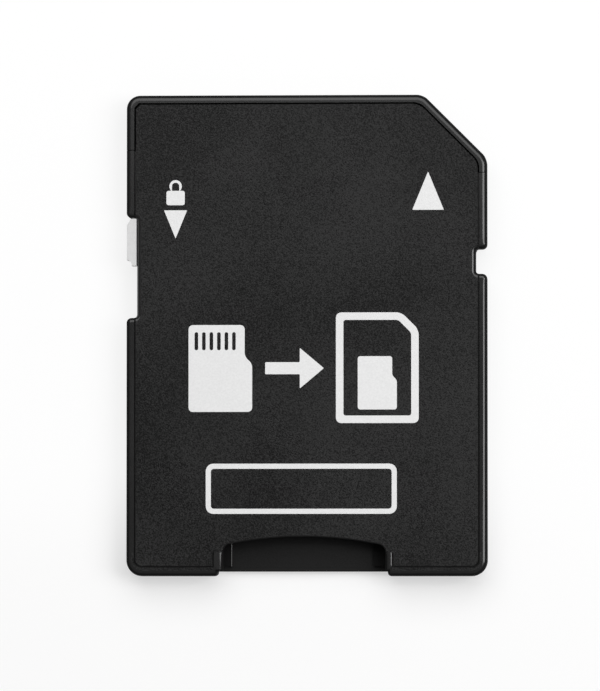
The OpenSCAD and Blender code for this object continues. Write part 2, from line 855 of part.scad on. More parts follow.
module lock_slider() {
    face = -hw + slide_gap / 2;
    back = recess_x - slide_gap;
    y0 = tab_y - tab_l / 2;
    y1 = tab_y + tab_l / 2;
    z0 = ledge_h + slide_gap;
    ease = notch_r / 2;
    color(white_tab)
        union() {
            prism(z0, card_t - tab_low)
                polygon([
                    [back - ease, y0], [back, y0 + ease], [back, y1 - ease], [back - ease, y1],
                    [back - tab_nose, y1], [face, y1 - tab_slope],
                    [face, y0 + tab_cut], [face + tab_cut * 0.7, y0 + tab_cut * 0.7], [face + tab_cut, y0]
                ]);
            box([back - ease, tab_y - neck_l / 2, neck_z],
                [channel_out + slide_gap + ease, tab_y + neck_l / 2, neck_z + neck_t]);
            box([channel_out + slide_gap, tab_y - foot_l / 2, z0],
                [channel_out + slide_gap + foot_d, tab_y + foot_l / 2, roof_z - slide_gap]);
        }
}

label_shell();
contact_shell();
contact_carrier();
contact_data2();
contact_data3();
contact_command();
contact_ground();
contact_supply();
contact_clock();
contact_data0();
contact_data1();
card_spring();
lock_slider();
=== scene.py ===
import math

import bmesh
import bpy
from mathutils import Matrix, Vector


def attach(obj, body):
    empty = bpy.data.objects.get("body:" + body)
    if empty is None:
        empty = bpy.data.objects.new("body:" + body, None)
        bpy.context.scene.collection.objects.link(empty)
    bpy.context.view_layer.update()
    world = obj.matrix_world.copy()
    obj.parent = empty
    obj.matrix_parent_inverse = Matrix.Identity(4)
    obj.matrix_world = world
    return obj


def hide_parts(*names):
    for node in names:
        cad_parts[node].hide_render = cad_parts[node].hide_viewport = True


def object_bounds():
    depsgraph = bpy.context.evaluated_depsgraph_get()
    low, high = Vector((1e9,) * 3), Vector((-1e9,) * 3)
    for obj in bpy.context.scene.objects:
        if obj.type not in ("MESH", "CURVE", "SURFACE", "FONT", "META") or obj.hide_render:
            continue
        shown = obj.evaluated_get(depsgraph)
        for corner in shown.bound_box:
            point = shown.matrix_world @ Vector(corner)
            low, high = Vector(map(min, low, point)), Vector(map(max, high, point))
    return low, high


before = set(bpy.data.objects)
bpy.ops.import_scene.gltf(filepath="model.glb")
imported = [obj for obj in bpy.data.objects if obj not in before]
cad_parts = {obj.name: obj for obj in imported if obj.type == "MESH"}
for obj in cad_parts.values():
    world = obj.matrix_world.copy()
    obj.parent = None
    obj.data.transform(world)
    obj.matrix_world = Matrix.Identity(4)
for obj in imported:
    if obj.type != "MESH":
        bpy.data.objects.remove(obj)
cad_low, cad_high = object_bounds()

MM = 0.001

# Sizes of the card in millimetres, on the part's own axes: +Y is the contact end, +Z the label face.
# Outline: half width, half length and thickness come from the frame, and the cut corner has its own leg.
HALF_W, HALF_L, THICK = (round(side / MM, 3) for side in cad_high)
CUT_LEG = 4.25
# Radii of its corners, seen from above: at the open end, at the cut corner, and left at the contact end.
REAR_R, CUT_R, FRONT_R = 1.05, 1.0, 0.9
# The print fills the thickness up, so the moulded face lies lower by one layer of ink.
INK_T = 0.008
FACE_Z = THICK - INK_T
# Heights of the joint between the halves, of the roof inside, of the slot floor and of its rails.
JOINT_Z, ROOF_Z, FLOOR_Z, RAIL_Z = 1.1, 1.5, 0.45, 0.7
# Ledges along the long edges of the back, which a socket's guides hold.
LEDGE_H, LEDGE_W = 0.7, 0.7
# Rim round the label area, a little wider at the open end, and the fine groove between the two.
RIM_W, REAR_RIM, GROOVE_W, GROOVE_D = 0.63, 0.05, 0.11, 0.3
# Fillets: the label side's edge outside, at the openings and along the thumb cut, and the back's edge.
EDGE_R, OPENING_R, ARC_R, BACK_R = 0.37, 0.29, 0.1, 0.15
# Beside an opening the fillet keeps its smaller radius for this way, and then grows over the same way.
BLEND = 0.45
# Corners of the outline at the openings: those that stand out, and those inside a recess or a notch.
LIP_R, INNER_R = 0.33, 0.22
# The rim at the contact end belongs to the back half: its two joints, their gap, and its hidden foot.
LEFT_JOINT_Y, RIGHT_JOINT_Y, HAIRLINE = 12.35, 10.82, 0.04
JOINT_STEP_X, FOOT_W, FOOT_GAP = 5.0, 0.8, 0.05
# Small chamfer on both sides of the joint along the walls.
SEAM_R = 0.03
# Recess of the slider in the left edge, and notch for a socket's latch in the right one: depth, upper end
# and length, and from these the inner wall and the lower end.
RECESS_DEPTH, RECESS_TOP, RECESS_L = 0.7, 7.83, 6.66
NOTCH_DEPTH, NOTCH_TOP, NOTCH_L = 0.76, 5.72, 1.66
RECESS_X, RECESS_END = -HALF_W + RECESS_DEPTH, RECESS_TOP - RECESS_L
NOTCH_X, NOTCH_END = HALF_W - NOTCH_DEPTH, NOTCH_TOP - NOTCH_L
# Card slot with its left rail, and the block at its right side that the small card's shoulder meets.
SLOT_MID, SLOT_W, SLOT_L, RAIL_W, KEY_W, KEY_L = -0.25, 11.1, 15.4, 0.8, 0.9, 4.9
SLOT_LEFT, SLOT_RIGHT, STOP_Y = SLOT_MID - SLOT_W / 2, SLOT_MID + SLOT_W / 2, -HALF_L + SLOT_L
RAIL_EDGE, KEY_X, KEY_Y = SLOT_LEFT + RAIL_W, SLOT_RIGHT - KEY_W, STOP_Y - KEY_L
# Thumb cut: a shallow arc with rounded corners, and a wider mouth with rounded ends at the open end.
THUMB_LEFT, THUMB_RIGHT, THUMB_L, THUMB_R, THUMB_CORNER_R = -5.55, 5.21, 2.62, 25.0, 0.4
MOUTH_LEFT, MOUTH_RIGHT, MOUTH_L, MOUTH_R = -5.93, 5.385, 0.3, 0.26
THUMB_TOP_Y, MOUTH_Y = -HALF_L + THUMB_L, -HALF_L + MOUTH_L
# Below this line the edge of the thumb cut has the fillet of the other openings.
ARC_END, ARC_BLEND = -14.4, 0.12
# Smooth strips beside the thumb cut, where the groove turns to the open end.
BORDER_LEFT, BORDER_RIGHT, STRIP_END = -6.2, 5.7, -14.42
# Room for the contact carrier, in three steps from the contact end, and the slider's channel, as the two
# corners of each. Cutters that meet overlap by the lap.
LAP = 0.01
FRONT_ROOM = ((-10.75, 8.1 - LAP), (10.75, 15.2))
MIDDLE_ROOM = ((-9.67, 3.35), (10.75, 8.1))
NECK_ROOM = ((-6.15, STOP_Y), (4.35, 3.35 + LAP))
CHANNEL = ((-10.85, 1.36), (-10.12, 7.64))
CORNER_WALL = 0.8
# Pad windows: their middles by pad number, their half widths, and where they end.
PAD_X = {1: 6.875, 2: 4.375, 3: 1.875, 4: -0.625, 5: -3.125, 6: -5.55, 7: -7.975, 8: -9.675, 9: 9.375}
PAD_HALF, NARROW_HALF, NARROW_PADS = 0.85, 0.6, (7, 8)
PAD_REAR, CORNER_PAD_REAR, CORNER_PAD = 10.4, 8.32, 9
# Ribs between the windows: where their slope starts at the back, and where they end.
RIB_SLOPE_Y, RIB_END_Y = 14.95, 15.4

# Cutters that go right through the card reach to here.
PAST_X, PAST_Y, BELOW, ABOVE = 14.0, 18.0, -1.0, 5.0
# Two places count as one up to this distance.
NEAR = 0.002


# Camera
def facing(place, target):
    """Matrix of a camera or lamp at a place, turned to a target, its upper side towards the contact end."""
    ahead = (Vector(target) - Vector(place)).normalized()
    side = ahead.cross(Vector((0, 1, 0))).normalized()
    turn = Matrix((side, side.cross(ahead), -ahead)).transposed()
    return Matrix.Translation(Vector(place) * MM) @ turn.to_4x4()


def camera_at(place, target, lens):
    """Camera of the scene."""
    made = bpy.data.objects.new("photo_camera", bpy.data.cameras.new("photo_camera"))
    bpy.context.scene.collection.objects.link(made)
    made.matrix_world = facing(place, target)
    made.data.lens = lens
    made.data.clip_start = 0.01
    bpy.context.scene.camera = made


# The photograph was taken almost straight from above, from a little right of the open end.
camera_at(place=(17.46, -16.3, 400), target=(-0.529, -0.612, 0), lens=312.72)


# Working by hand
def hold(piece):
    """Selects one piece and nothing else."""
    bpy.ops.object.select_all(action="DESELECT")
    piece.select_set(True)
    bpy.context.view_layer.objects.active = piece


def pick(piece, kind, wanted):
    """Opens a piece for editing with only those corners, edges or faces selected that the test takes."""
    hold(piece)
    bpy.ops.object.mode_set(mode="EDIT")
    bpy.ops.mesh.select_mode(type=kind)
    bpy.ops.mesh.select_all(action="DESELECT")
    form = bmesh.from_edit_mesh(piece.data)
    if kind == "VERT":
        chosen = [v for v in form.verts if wanted(v.co)]
    elif kind == "EDGE":
        chosen = [e for e in form.edges if wanted(e.verts[0].co, e.verts[1].co)]
    else:
        chosen = [f for f in form.faces if wanted(f.calc_center_median(), f.normal)]
    for part in chosen:
        part.select_set(True)
    form.select_flush_mode()
    bmesh.update_edit_mesh(piece.data)
    return len(chosen)


def leave():
    """Closes edit mode."""
    bpy.ops.object.mode_set(mode="OBJECT")


def named(name):
    """Names what was just added, and puts its place into its mesh."""
    piece = bpy.context.object
    piece.name = piece.data.name = name
    bpy.ops.object.transform_apply(location=True, rotation=True, scale=True)
    return piece


def block(name, low, high):
    """Block between two corners."""
    low, high = Vector(low), Vector(high)
    bpy.ops.object.select_all(action="DESELECT")
    bpy.ops.mesh.primitive_cube_add(size=1, location=(low + high) / 2, scale=high - low)
    return named(name)


def room(name, plan, low, high):
    """Block with a plan given by two corners, between two heights."""
    return block(name, (*plan[0], low), (*plan[1], high))


def slice_off(piece, point, normal):
    """Cuts away what lies beyond a plane and closes the cut."""
    pick(piece, "FACE", lambda c, n: True)
    bpy.ops.mesh.bisect(plane_co=point, plane_no=Vector(normal).normalized(), use_fill=True, clear_outer=True)
    leave()
    return piece


def round_edges(piece, wanted, width, steps):
    """Rounds the edges that the test takes."""
    if pick(piece, "EDGE", wanted):
        bpy.ops.mesh.bevel(offset=width, segments=steps, profile=0.5, affect="EDGES", clamp_overlap=True)
    leave()
    return piece


def upright(x, y):
    """Test for the upright edge that stands at x, y."""

    def at_place(p):
        return abs(p.x - x) < 0.02 and abs(p.y - y) < 0.02

    return lambda a, b: abs(a.z - b.z) > 0.01 and at_place(a) and at_place(b)


def cut(piece, *cutters, join=False):
    """Takes cutters away from a piece, or joins them to it, and throws the cutters away."""
    for cutter in cutters:
        hold(piece)
        step = piece.modifiers.new("cut", "BOOLEAN")
        step.operation = "UNION" if join else "DIFFERENCE"
        step.solver = "EXACT"
        step.object = cutter
        bpy.ops.object.modifier_apply(modifier=step.name)
        bpy.data.objects.remove(cutter)
    return piece


def tidy_faces(piece):
    """Merges what a cut left double, joins faces that lie in one plane, and closes the smallest gaps."""
    pick(piece, "VERT", lambda p: True)
    bpy.ops.mesh.remove_doubles(threshold=0.0005)
    bpy.ops.mesh.dissolve_limited(angle_limit=math.radians(0.4))
    bpy.ops.mesh.select_all(action="SELECT")
    bpy.ops.mesh.fill_holes(sides=4)
    bpy.ops.mesh.normals_make_consistent(inside=False)
    leave()
    return piece


# The two shells
def card_block(name, inset, low, high, radii):
    """Block with the card's plan, moved in by the inset: cut corner, then rounded upright corners.

    The radii are for the open end, the cut corner and the corner beside it at the contact end."""
    side, end = HALF_W - inset, HALF_L - inset
    leg = CUT_LEG - inset * (2 - math.sqrt(2))
    made = block(name, (-side, -end, low), (side, end, high))
    slice_off(made, (side, end - leg, 0), (1, 1, 0))
    rear_r, cut_r, front_r = radii
    for x in (-side, side):
        round_edges(made, upright(x, -end), rear_r, 10)
    for x, y in ((side, end - leg), (side - leg, end)):
        round_edges(made, upright(x, y), cut_r * math.tan(math.radians(22.5)), 8)
    if front_r:
        round_edges(made, upright(-side, end), front_r, 10)
    return made


def label_block(name, inset, low, high):
    """Block with the plan of the label area, with its small cut corner, and set back at the open end."""
    made = card_block(name, inset, low, high, (0.45, CUT_R, 0))
    slice_off(made, (-HALF_W + inset + 0.3, HALF_L - inset, 0), (-1, 1, 0))
    pick(made, "VERT", lambda p: p.y < 0)
    bpy.ops.transform.translate(value=(0, REAR_RIM, 0))
    leave()
    return made


def edge_cutter(name, low, high, inner_x):
    """Block that cuts an opening into a long edge, with its two inner corners rounded."""
    made = block(name, low, high)
    for y in (low[1], high[1]):
        round_edges(made, upright(inner_x, y), INNER_R, 5)
    return made


def card_blank(name):
    """Whole card with sharp edges, its slider recess and its notch."""
    made = card_block(name, 0, 0, FACE_Z, (REAR_R, CUT_R, FRONT_R))
    cut(
        made,
        edge_cutter("recess", (-PAST_X, RECESS_END, BELOW), (RECESS_X, RECESS_TOP, ABOVE), RECESS_X),
        edge_cutter("notch", (NOTCH_X, NOTCH_END, BELOW), (PAST_X, NOTCH_TOP, ABOVE), NOTCH_X),
    )
    for x, ends in ((-HALF_W, (RECESS_TOP, RECESS_END)), (HALF_W, (NOTCH_TOP, NOTCH_END))):
        for y in ends:
            round_edges(made, upright(x, y), LIP_R, 5)
    return made


def thumb_cutter():
    """Tool for the thumb cut: a large disc, trimmed to a shallow arc with rounded corners."""
    bpy.ops.object.select_all(action="DESELECT")
    bpy.ops.mesh.primitive_cylinder_add(
        vertices=160, radius=THUMB_R, depth=4, location=(SLOT_MID, THUMB_TOP_Y - THUMB_R, 2)
    )
    made = named("thumb_cutter")
    slice_off(made, (THUMB_LEFT, 0, 0), (-1, 0, 0))
    slice_off(made, (THUMB_RIGHT, 0, 0), (1, 0, 0))
    slice_off(made, (0, -HALF_L - 1, 0), (0, -1, 0))
    for x in (THUMB_LEFT, THUMB_RIGHT):
        corner_y = max(v.co.y for v in made.data.vertices if abs(v.co.x - x) < 0.01)
        round_edges(made, upright(x, corner_y), THUMB_CORNER_R, 6)
    return made


def outer(p):
    """True on the card's own outer walls, its rounded corners included."""
    past_cut = p.x + p.y - (HALF_W + HALF_L - CUT_LEG)
    at_rear_corner = abs(p.x) > HALF_W - REAR_R - 0.05 and p.y < -HALF_L + REAR_R + 0.05
    at_front_corner = p.x < -HALF_W + FRONT_R + 0.05 and p.y > HALF_L - FRONT_R - 0.05
    straight = abs(abs(p.x) - HALF_W) < NEAR or abs(abs(p.y) - HALF_L) < NEAR
    return straight or past_cut > -0.5 or at_rear_corner or at_front_corner


def near_opening(p):
    """True within a short way of the recess, the notch and the thumb cut."""
    by_recess = p.x < RECESS_X + 0.3 and RECESS_END - BLEND < p.y < RECESS_TOP + BLEND
    by_notch = p.x > NOTCH_X - 0.3 and NOTCH_END - BLEND < p.y < NOTCH_TOP + BLEND
    by_thumb = MOUTH_LEFT - BLEND < p.x < MOUTH_RIGHT + BLEND and p.y < THUMB_TOP_Y + 0.3
    return by_recess or by_notch or by_thumb


def on_arc(p):
    """True along the thumb cut's arc and its corners."""
    return THUMB_LEFT - 0.01 < p.x < THUMB_RIGHT + 0.01 and ARC_END < p.y < THUMB_TOP_Y + 0.1


def split_wall(piece, x, y):
    """Adds an edge at y to a wall that runs along Y, so that a fillet can change its radius there."""
    pick(piece, "FACE", lambda c, n: abs(c.x - x) < NEAR and abs(n.x) > 0.9)
    bpy.ops.mesh.bisect(plane_co=(0, y, 0), plane_no=(0, 1, 0))
    leave()


def round_rims(piece, back):
    """Rounds the label side's edge, wide outside and narrow at the openings, and the back's edge."""
    for x, low, high in ((-HALF_W, RECESS_END, RECESS_TOP), (HALF_W, NOTCH_END, NOTCH_TOP)):
        for y in (low - 2 * BLEND, low - BLEND, high + BLEND, high + 2 * BLEND):
            split_wall(piece, x, y)
    weights = piece.data.attributes.new("bevel_weight_edge", "FLOAT", "EDGE")
    for edge in piece.data.edges:
        a, b = (piece.data.vertices[i].co for i in edge.vertices)
        middle = (a + b) / 2
        radius = 0
        if min(a.z, b.z) > FACE_Z - NEAR:
            radius = ARC_R if on_arc(middle) else OPENING_R if near_opening(middle) else EDGE_R
        elif back and max(a.z, b.z) < NEAR:
            radius = BACK_R
        weights.data[edge.index].value = radius / EDGE_R
    hold(piece)
    step = piece.modifiers.new("rims", "BEVEL")
    step.limit_method, step.width, step.segments = "WEIGHT", EDGE_R, 6
    step.use_clamp_overlap = False
    bpy.ops.object.modifier_apply(modifier=step.name)
    return piece


def round_mouth(piece):
    """Rounds the two ends of the rim at the mouth, seen from above."""
    for x, side in ((MOUTH_LEFT, -1), (MOUTH_RIGHT, 1)):
        low, high = sorted((x - side * 0.3, x + side * MOUTH_R))
        tip = block("mouth_corner", (low, -HALF_L - 0.3, BELOW), (high, -HALF_L + MOUTH_R, ABOVE))
        bpy.ops.object.select_all(action="DESELECT")
        bpy.ops.mesh.primitive_cylinder_add(
            vertices=48, radius=MOUTH_R, depth=12, location=(x + side * MOUTH_R, -HALF_L + MOUTH_R, 1)
        )
        cut(tip, named("round_part"))
        slice_off(tip, (x + side * (MOUTH_R - LAP), 0, 0), (side, 0, 0))
        cut(piece, tip)


def front_region(name, low, high, gap, inset):
    """Tool for the rim at the contact end: the band outside the label area, down to the two joints."""
    made = block(name, (-PAST_X, LEFT_JOINT_Y - gap, low), (PAST_X, PAST_Y, high))
    step = block("step", (JOINT_STEP_X, RIGHT_JOINT_Y - gap, low), (PAST_X, LEFT_JOINT_Y + 1, high))
    cut(made, step, join=True)
    return cut(made, label_block("inside", inset, low - 1, high + 1))


def inside_cutters(low, high):
    """Tools for what both shells leave free inside: the contact carrier's room and the slider's channel."""
    front = room("carrier_front", FRONT_ROOM, low, high)
    wall_y = HALF_L - CUT_LEG - CORNER_WALL * (math.sqrt(2) - 1)
    slice_off(front, (HALF_W - CORNER_WALL, wall_y, 0), (1, 1, 0))
    return (
        front,
        room("carrier_middle", MIDDLE_ROOM, low, high),
        room("carrier_neck", NECK_ROOM, low, high),
        room("channel", CHANNEL, low, high),
    )


def slot_cutters(low, high):
    """Tools for the card slot, wide up to the block at its right side, and narrow beyond."""
    return (
        block("slot_wide", (SLOT_LEFT, -PAST_Y, low), (SLOT_RIGHT, KEY_Y, high)),
        block("slot_narrow", (SLOT_LEFT, KEY_Y - LAP, low), (KEY_X, STOP_Y + 0.05, high)),
    )


def neck_slit():
    """Tool for the slit in the recess's wall that the slider's neck runs in."""
    return block("neck_slit", (-PAST_X, 1.61, 0.81), (-10.8, 7.39, 1.39))


def cut_label_groove(plate):
    """Cuts the groove round the label area, which turns to the open end on both sides of the mouth."""
    bottom = FACE_Z - GROOVE_D
    groove = label_block("groove", RIM_W - GROOVE_W, bottom, ABOVE)
    cut(groove, label_block("kept", RIM_W, 0, ABOVE + 1))
    cut(groove, block("open", (BORDER_LEFT, -PAST_Y, 0), (BORDER_RIGHT, -HALF_L + 1, ABOVE + 1)))
    cut(plate, groove)
    turn_y = -HALF_L + REAR_RIM + RIM_W - GROOVE_W
    half = GROOVE_W / 2
    for x in (BORDER_LEFT, BORDER_RIGHT):
        cut(plate, block("turn", (x - half, turn_y, bottom), (x + half, turn_y + 1, ABOVE)))
    edge = BORDER_RIGHT - half
    slope = block("strip_slope", (edge - 0.2, turn_y + 0.12, FACE_Z - 0.2), (edge + 0.02, turn_y + 1, ABOVE))
    cut(plate, slice_off(slope, (edge - 0.13, 0, FACE_Z), (-0.34, 0, -0.94)))


def label_plate():
    """Label side of the housing: rounded plate with its rim, groove, thumb cut and openings."""
    made = card_blank("label_plate")
    mouth = block("mouth", (MOUTH_LEFT, -PAST_Y, BELOW), (MOUTH_RIGHT, MOUTH_Y, ABOVE))
    cut(made, thumb_cutter(), mouth)
    tidy_faces(made)
    for x in (THUMB_LEFT, THUMB_RIGHT):
        for y in (ARC_END, ARC_END - ARC_BLEND):
            split_wall(made, x, y)
    round_rims(made, back=False)
    cut(made, block("lower", (-PAST_X, -PAST_Y, BELOW), (PAST_X, PAST_Y, JOINT_Z)))
    round_edges(made, lambda a, b: max(a.z, b.z) < JOINT_Z + NEAR and outer((a + b) / 2), SEAM_R, 1)
    cut(
        made,
        front_region("front_low", JOINT_Z - 1, ROOF_Z, HAIRLINE, FOOT_W + FOOT_GAP),
        front_region("front_high", ROOF_Z - LAP, ABOVE, HAIRLINE, RIM_W),
    )
    cut_label_groove(made)
    cut(made, *inside_cutters(0.5, ROOF_Z), *slot_cutters(0.4, ROOF_Z), neck_slit())
    round_mouth(made)
    return tidy_faces(made)


def chamfer_back_joint(piece):
    """Breaks the back half's edge along the joint, up to the rim at the contact end."""

    def at_joint(a, b):
        middle = (a + b) / 2
        level = min(a.z, b.z) > JOINT_Z - NEAR and max(a.z, b.z) < JOINT_Z + NEAR
        return level and outer(middle) and middle.y < (LEFT_JOINT_Y if a.x < 0 else RIGHT_JOINT_Y) - NEAR

    return round_edges(piece, at_joint, SEAM_R, 1)


def cut_pad_windows(back):
    """Opens the windows over the pads, and shapes the ribs that stand between them."""
    for pad, x in PAD_X.items():
        half = NARROW_HALF if pad in NARROW_PADS else PAD_HALF
        rear = CORNER_PAD_REAR if pad == CORNER_PAD else PAD_REAR
        cut(back, block("window", (x - half, rear, BELOW), (x + half, PAST_Y, LEDGE_H)))
    left, right = PAD_X[8] - NARROW_HALF, PAD_X[1] + PAD_HALF
    cut(back, block("rib_ends", (left, RIB_END_Y, BELOW), (right, PAST_Y, LEDGE_H)))
    slope = block("rib_slopes", (left, RIB_SLOPE_Y, BELOW), (right, RIB_END_Y + LAP, 0.46))
    cut(back, slice_off(slope, (0, RIB_SLOPE_Y, 0), (0, -1, 1)))
    lead = block("lead_in", (left, 15.7, 0.5), (right, PAST_Y, 1.5))
    cut(back, slice_off(lead, (0, 15.75, LEDGE_H), (0, -1, 1)))


def contact_half():
    """Contact side of the housing: floor, walls, ledges, pad windows, slot and the rim at the contact end."""
    made = card_blank("contact_half")
    round_rims(made, back=True)
    space = block("label_space", (-PAST_X, -PAST_Y, JOINT_Z), (PAST_X, PAST_Y, ABOVE))
    cut(
        space,
        front_region("rim_low", 0, ROOF_Z, 0, FOOT_W),
        front_region("rim_high", ROOF_Z - LAP, ABOVE + 1, 0, RIM_W - GROOVE_W),
    )
    cut(made, space)
    chamfer_back_joint(made)
    for side in (-1, 1):
        low, high = sorted((side * (HALF_W - LEDGE_W), side * PAST_X))
        cut(made, block("ledge", (low, -PAST_Y, BELOW), (high, PAST_Y, LEDGE_H)))
    cut_pad_windows(made)
    cut(made, *inside_cutters(LEDGE_H, 1.3), *slot_cutters(RAIL_Z, 3))
    cut(
        made,
        block("floor", (RAIL_EDGE, -PAST_Y, FLOOR_Z), (KEY_X, STOP_Y + 0.05, 1)),
        block("floor_rear", (SLOT_LEFT, -PAST_Y, FLOOR_Z), (SLOT_RIGHT, -15.35, 1)),
        block("floor_front", (SLOT_LEFT, -6.85, FLOOR_Z), (SLOT_RIGHT, KEY_Y, 1)),
        block("floor_end", (SLOT_LEFT, KEY_Y - LAP, FLOOR_Z), (KEY_X + LAP, STOP_Y + 0.05, 1)),
        block("finger_room", (-5.35, -4.25, 0.25), (3.55, 3.35, 1)),
        block("hollow_left", (-10.75, -13.4, FLOOR_Z), (-6.8, -3.6, 2)),
        block("hollow_right", (6.6, -13.4, FLOOR_Z), (10.75, -3.6, 2)),
        block("spring_room", (KEY_X, -11.25, 0.49), (6.15, -6.4, 2)),
        block("spring_slit", (5.775, -13.2, 0.49), (5.925, -11.2, 2)),
        neck_slit(),
        block("mouth", (MOUTH_LEFT, -PAST_Y, BELOW), (MOUTH_RIGHT, MOUTH_Y, ABOVE)),
    )
    round_mouth(made)
    tidy_faces(made)

    def on_rail_edge(p):
        return abs(p.x - RAIL_EDGE) < NEAR and abs(p.z - RAIL_Z) < NEAR

    return round_edges(made, lambda a, b: on_rail_edge(a) and on_rail_edge(b), 0.07, 3)


def slider():
    """White slider: tab with a sloped and a stepped end, and the neck and foot that hold it in."""
    made = block("write_lock_slider", (-11.98, 4.65, 0.74), (-11.34, 7.77, 1.9))
    slice_off(made, (-11.7, 7.77, 0), (-0.41, 0.28, 0))
    end = block("stepped_end", (-12.5, 4.0, 0), (-11.66, 5.03, 3))
    slice_off(end, (-11.87, 5.01, 0), (0.3, 1, 0))
    slice_off(end, (-11.7, 4.85, 0), (1, 0.48, 0))
    cut(made, end)
    neck = block("neck", (-11.4, 5.11, 0.85), (-10.7, 7.31, 1.35))
    foot = block("foot", (-10.81, 4.86, 0.74), (-10.16, 7.56, 1.46))
    return cut(made, neck, foot, join=True)


# Print on the label
def ink_block(name, left, low, right, high):
    """Patch of ink between two corners, sunk a little into the face so that it lies tight."""
    return block(name, (left, low, FACE_Z - INK_T / 2), (right, high, THICK))


def through(name, left, low, right, high):
    """Tool that cuts right through a patch of ink, between two corners."""
    return block(name, (left, low, 0), (right, high, ABOVE))


def ink_triangle(name, apex, base_y, half):
    """Patch of ink with one corner at the apex and its base at the other height."""
    low, high = sorted((apex[1], base_y))
    made = ink_block(name, apex[0] - half, low, apex[0] + half, high)
    rise = base_y - apex[1]
    for side in (-1, 1):
        slice_off(made, (*apex, 0), (side * abs(rise), -half * math.copysign(1, rise), 0))
    return made


def soften(piece, radius, steps=3):
    """Rounds the upright corners of a patch of ink a little, as the screen leaves them."""

    def stands(a, b):
        return abs(a.z - b.z) > 0.005 and (a - b).xy.length < 0.001

    return round_edges(piece, stands, radius, steps)


def small_card(name, left, low, scale):
    """Patch of ink with the outline of a small card of 11 by 15: narrower beyond its shoulder."""
    right, top = left + 11 * scale, low + 15 * scale
    shoulder_y = top - 6.6 * scale
    made = ink_block(name, left, low, right, top)
    beside = through("beside", right - 1.3 * scale, shoulder_y - 1, right + 1, top + 1)
    slice_off(beside, (right, shoulder_y, 0), (-1, -1.2, 0))
    cut(made, beside)
    return soften(made, 0.7 * scale)


def printed_padlock():
    """Printed padlock beside the slider: a body with round corners and a shackle bent from one bar."""
    made = soften(ink_block("print_padlock", -9.33, 8.66, -8.11, 9.62), 0.14)
    shackle = soften(ink_block("shackle", -9.13, 9.5, -8.31, 10.33), 0.4, 8)
    cut(shackle, soften(through("inside", -8.96, 9.0, -8.48, 10.16), 0.23, 8))
    cut(shackle, through("shackle_feet", -10, 9.0, -7, 9.55))
    return cut(made, shackle, join=True)


def printed_small_card():
    """Printed small card with six contacts left open in the ink."""
    made = small_card("print_small_card", -7.85, -5.1, 0.385)
    for number in range(6):
        x = -7.45 + 0.5 * number
        cut(made, soften(through("contact_slit", x, -1.0, x + 0.24, 0.2), 0.1, 2))
    return made


def printed_arrow():
    """Printed arrow from the small card to the full-size one."""
    made = ink_block("print_arrow", -2.75, -2.6, -0.2, -1.8)
    head = ink_block("head", -0.45, -3.55, 1.15, -0.85)
    for side in (-1, 1):
        slice_off(head, (1.15, -2.2, 0), (1.35, side * 1.6, 0))
    cut(made, head, join=True)
    return soften(made, 0.06, 2)


def printed_full_size_card():
    """Printed outline of the full-size card with its cut corner, and the small card inside."""
    made = ink_block("print_full_size_card", 1.95, -5.85, 7.45, 1.5)
    slice_off(made, (7.45, 0.35, 0), (1, 1, 0))
    soften(made, 0.35, 5)
    opening = through("opening", 2.45, -5.35, 6.95, 1.0)
    slice_off(opening, (6.95, 0.14, 0), (1, 1, 0))
    cut(made, soften(opening, 0.15))
    return cut(made, small_card("inner_card", 3.4, -4.95, 0.236), join=True)


def printed_field():
    """Printed frame of the field to write on."""
    made = soften(ink_block("print_write_on_field", -6.7, -11.87, 5.99, -8.54), 0.5, 6)
    return cut(made, soften(through("opening", -6.36, -11.53, 5.65, -8.88), 0.2, 5))


def printed_signs():
    """White print: two triangles, the pictogram of the cards, the field to write on and the padlock."""
    return (
        soften(ink_triangle("print_lock_arrow", apex=(-8.72, 6.445), base_y=8.32, half=0.77), 0.03, 2),
        soften(ink_triangle("print_insert_arrow", apex=(8.08, 10.86), base_y=8.31, half=1.05), 0.03, 2),
        printed_small_card(),
        printed_arrow(),
        printed_full_size_card(),
        printed_field(),
        printed_padlock(),
    )


# Finishes
# A Mix node has several sockets of one name, so they are taken by number.
VALUE_A, VALUE_B, COLOUR_A, COLOUR_B, COLOUR_OUT = 2, 3, 6, 7, 2


def linear(shade):
    """Linear colour of an sRGB hex value."""
    parts = [int(shade[i : i + 2], 16) / 255 for i in (1, 3, 5)]
    return (*[c / 12.92 if c <= 0.04045 else ((c + 0.055) / 1.055) ** 2.4 for c in parts], 1.0)


def add(tree, kind, inputs=(), **settings):
    """Adds a node with its settings. Inputs are socket values, or other nodes' outputs to link."""
    made = tree.nodes.new(kind)
    for field, value in settings.items():
        setattr(made, field, value)
    for socket, value in dict(inputs).items():
        if isinstance(value, bpy.types.NodeSocket):
            tree.links.new(value, made.inputs[socket])
        else:
            made.inputs[socket].default_value = value
    return made


def new_material(name):
    """Empty node material, with its output and the piece's own coordinates."""
    made = bpy.data.materials.new(name)
    made.use_nodes = True
    made.node_tree.nodes.clear()
    tree = made.node_tree
    out = add(tree, "ShaderNodeOutputMaterial")
    return made, tree, out, add(tree, "ShaderNodeTexCoord").outputs["Object"]


